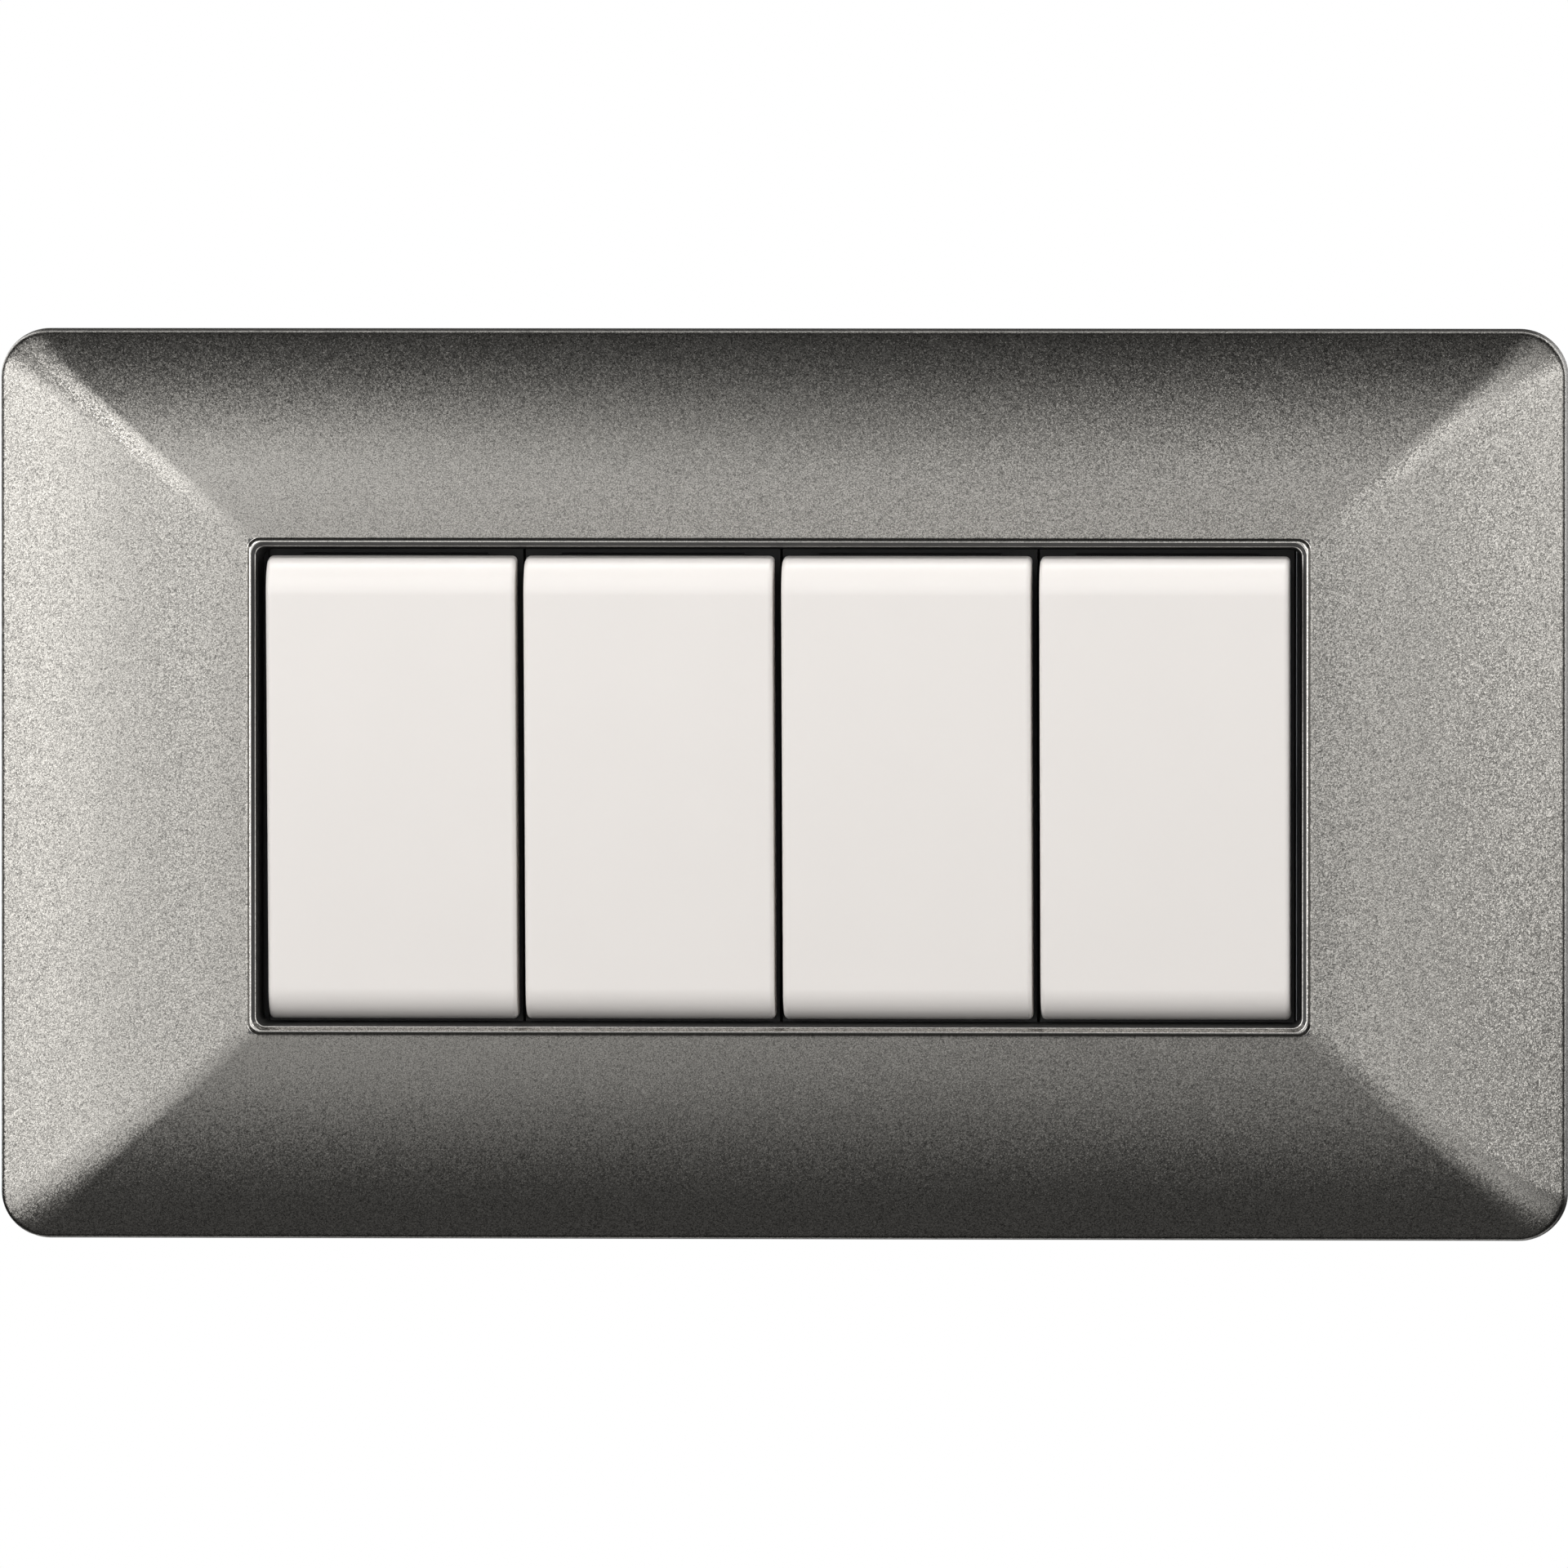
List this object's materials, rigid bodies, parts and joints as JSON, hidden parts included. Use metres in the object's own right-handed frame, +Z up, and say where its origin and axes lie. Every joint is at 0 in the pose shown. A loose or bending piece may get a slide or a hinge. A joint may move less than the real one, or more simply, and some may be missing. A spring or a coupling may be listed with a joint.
{
  "type": "four-gang rocker switch plate",
  "caption": "Wall plate with sloping metallic faces and a raised rim round a row of rocker switches, on its support frame, with the switch bases behind.",
  "frame": {"origin": "on the wall's surface, midway between the two fixing screws", "axes": "+Z up the wall, +X to the right along the row of rockers, -Y out of the wall towards the user"},
  "size_m": [0.1374, 0.0344, 0.0798],
  "materials": {
    "plate_paint": "pewter-grey metallic paint with fine flakes, satin",
    "frame_plastic": "fine-grained black moulding",
    "rocker_plastic": "smooth warm white moulding, satin gloss",
    "carrier_plastic": "black moulding",
    "base_plastic": "grey heat-resistant moulding, fine grain",
    "plunger_plastic": "natural nylon",
    "contact_brass": "bare brass strip",
    "screw_steel": "zinc-plated steel"
  },
  "bodies": {
    "wall_unit": {"trim_plate": "plate_paint", "support_frame": "frame_plastic", "frame_screws": "screw_steel", "switch_carrier_1": "carrier_plastic", "switch_base_1": "base_plastic", "common_terminal_1": "contact_brass", "switched_terminal_1": "contact_brass", "wire_clamps_1": "screw_steel", "terminal_screws_1": "screw_steel", "switch_carrier_2": "carrier_plastic", "switch_base_2": "base_plastic", "common_terminal_2": "contact_brass", "switched_terminal_2": "contact_brass", "wire_clamps_2": "screw_steel", "terminal_screws_2": "screw_steel", "switch_carrier_3": "carrier_plastic", "switch_base_3": "base_plastic", "common_terminal_3": "contact_brass", "switched_terminal_3": "contact_brass", "wire_clamps_3": "screw_steel", "terminal_screws_3": "screw_steel", "switch_carrier_4": "carrier_plastic", "switch_base_4": "base_plastic", "common_terminal_4": "contact_brass", "switched_terminal_4": "contact_brass", "wire_clamps_4": "screw_steel", "terminal_screws_4": "screw_steel"},
    "rocker_body_1": {"rocker_1": "rocker_plastic", "plunger_spring_1": "screw_steel"},
    "plunger_body_1": {"plunger_1": "plunger_plastic"},
    "contact_body_1": {"moving_contact_1": "contact_brass"},
    "rocker_body_2": {"rocker_2": "rocker_plastic", "plunger_spring_2": "screw_steel"},
    "plunger_body_2": {"plunger_2": "plunger_plastic"},
    "contact_body_2": {"moving_contact_2": "contact_brass"},
    "rocker_body_3": {"rocker_3": "rocker_plastic", "plunger_spring_3": "screw_steel"},
    "plunger_body_3": {"plunger_3": "plunger_plastic"},
    "contact_body_3": {"moving_contact_3": "contact_brass"},
    "rocker_body_4": {"rocker_4": "rocker_plastic", "plunger_spring_4": "screw_steel"},
    "plunger_body_4": {"plunger_4": "plunger_plastic"},
    "contact_body_4": {"moving_contact_4": "contact_brass"}
  },
  "joints": [
    {"name": "rocker_1_press", "type": "hinge", "parent": "wall_unit", "child": "rocker_body_1", "pos_m": [-0.03375, -0.006, 0], "axis": [-1, 0, 0], "range_deg": [0, 10]},
    {"name": "contact_1_rock", "type": "hinge", "parent": "wall_unit", "child": "contact_body_1", "pos_m": [-0.03375, 0.006, 0], "axis": [1, 0, 0], "range_deg": [0, 20]},
    {"name": "plunger_1_slide", "type": "slide", "parent": "rocker_body_1", "child": "plunger_body_1", "axis": [0, -0.9962, -0.0872], "range_m": [0, 0.0005], "stiffness_N_per_m": 200, "deforming": ["plunger_spring_1"]},
    {"name": "rocker_2_press", "type": "hinge", "parent": "wall_unit", "child": "rocker_body_2", "pos_m": [-0.01125, -0.006, 0], "axis": [-1, 0, 0], "range_deg": [0, 10]},
    {"name": "contact_2_rock", "type": "hinge", "parent": "wall_unit", "child": "contact_body_2", "pos_m": [-0.01125, 0.006, 0], "axis": [1, 0, 0], "range_deg": [0, 20]},
    {"name": "plunger_2_slide", "type": "slide", "parent": "rocker_body_2", "child": "plunger_body_2", "axis": [0, -0.9962, -0.0872], "range_m": [0, 0.0005], "stiffness_N_per_m": 200, "deforming": ["plunger_spring_2"]},
    {"name": "rocker_3_press", "type": "hinge", "parent": "wall_unit", "child": "rocker_body_3", "pos_m": [0.01125, -0.006, 0], "axis": [-1, 0, 0], "range_deg": [0, 10]},
    {"name": "contact_3_rock", "type": "hinge", "parent": "wall_unit", "child": "contact_body_3", "pos_m": [0.01125, 0.006, 0], "axis": [1, 0, 0], "range_deg": [0, 20]},
    {"name": "plunger_3_slide", "type": "slide", "parent": "rocker_body_3", "child": "plunger_body_3", "axis": [0, -0.9962, -0.0872], "range_m": [0, 0.0005], "stiffness_N_per_m": 200, "deforming": ["plunger_spring_3"]},
    {"name": "rocker_4_press", "type": "hinge", "parent": "wall_unit", "child": "rocker_body_4", "pos_m": [0.03375, -0.006, 0], "axis": [-1, 0, 0], "range_deg": [0, 10]},
    {"name": "contact_4_rock", "type": "hinge", "parent": "wall_unit", "child": "contact_body_4", "pos_m": [0.03375, 0.006, 0], "axis": [1, 0, 0], "range_deg": [0, 20]},
    {"name": "plunger_4_slide", "type": "slide", "parent": "rocker_body_4", "child": "plunger_body_4", "axis": [0, -0.9962, -0.0872], "range_m": [0, 0.0005], "stiffness_N_per_m": 200, "deforming": ["plunger_spring_4"]}
  ],
  "couplings": [
    {"joint": "contact_1_rock", "follows": "rocker_1_press", "ratio": 2},
    {"joint": "contact_2_rock", "follows": "rocker_2_press", "ratio": 2},
    {"joint": "contact_3_rock", "follows": "rocker_3_press", "ratio": 2},
    {"joint": "contact_4_rock", "follows": "rocker_4_press", "ratio": 2}
  ]
}
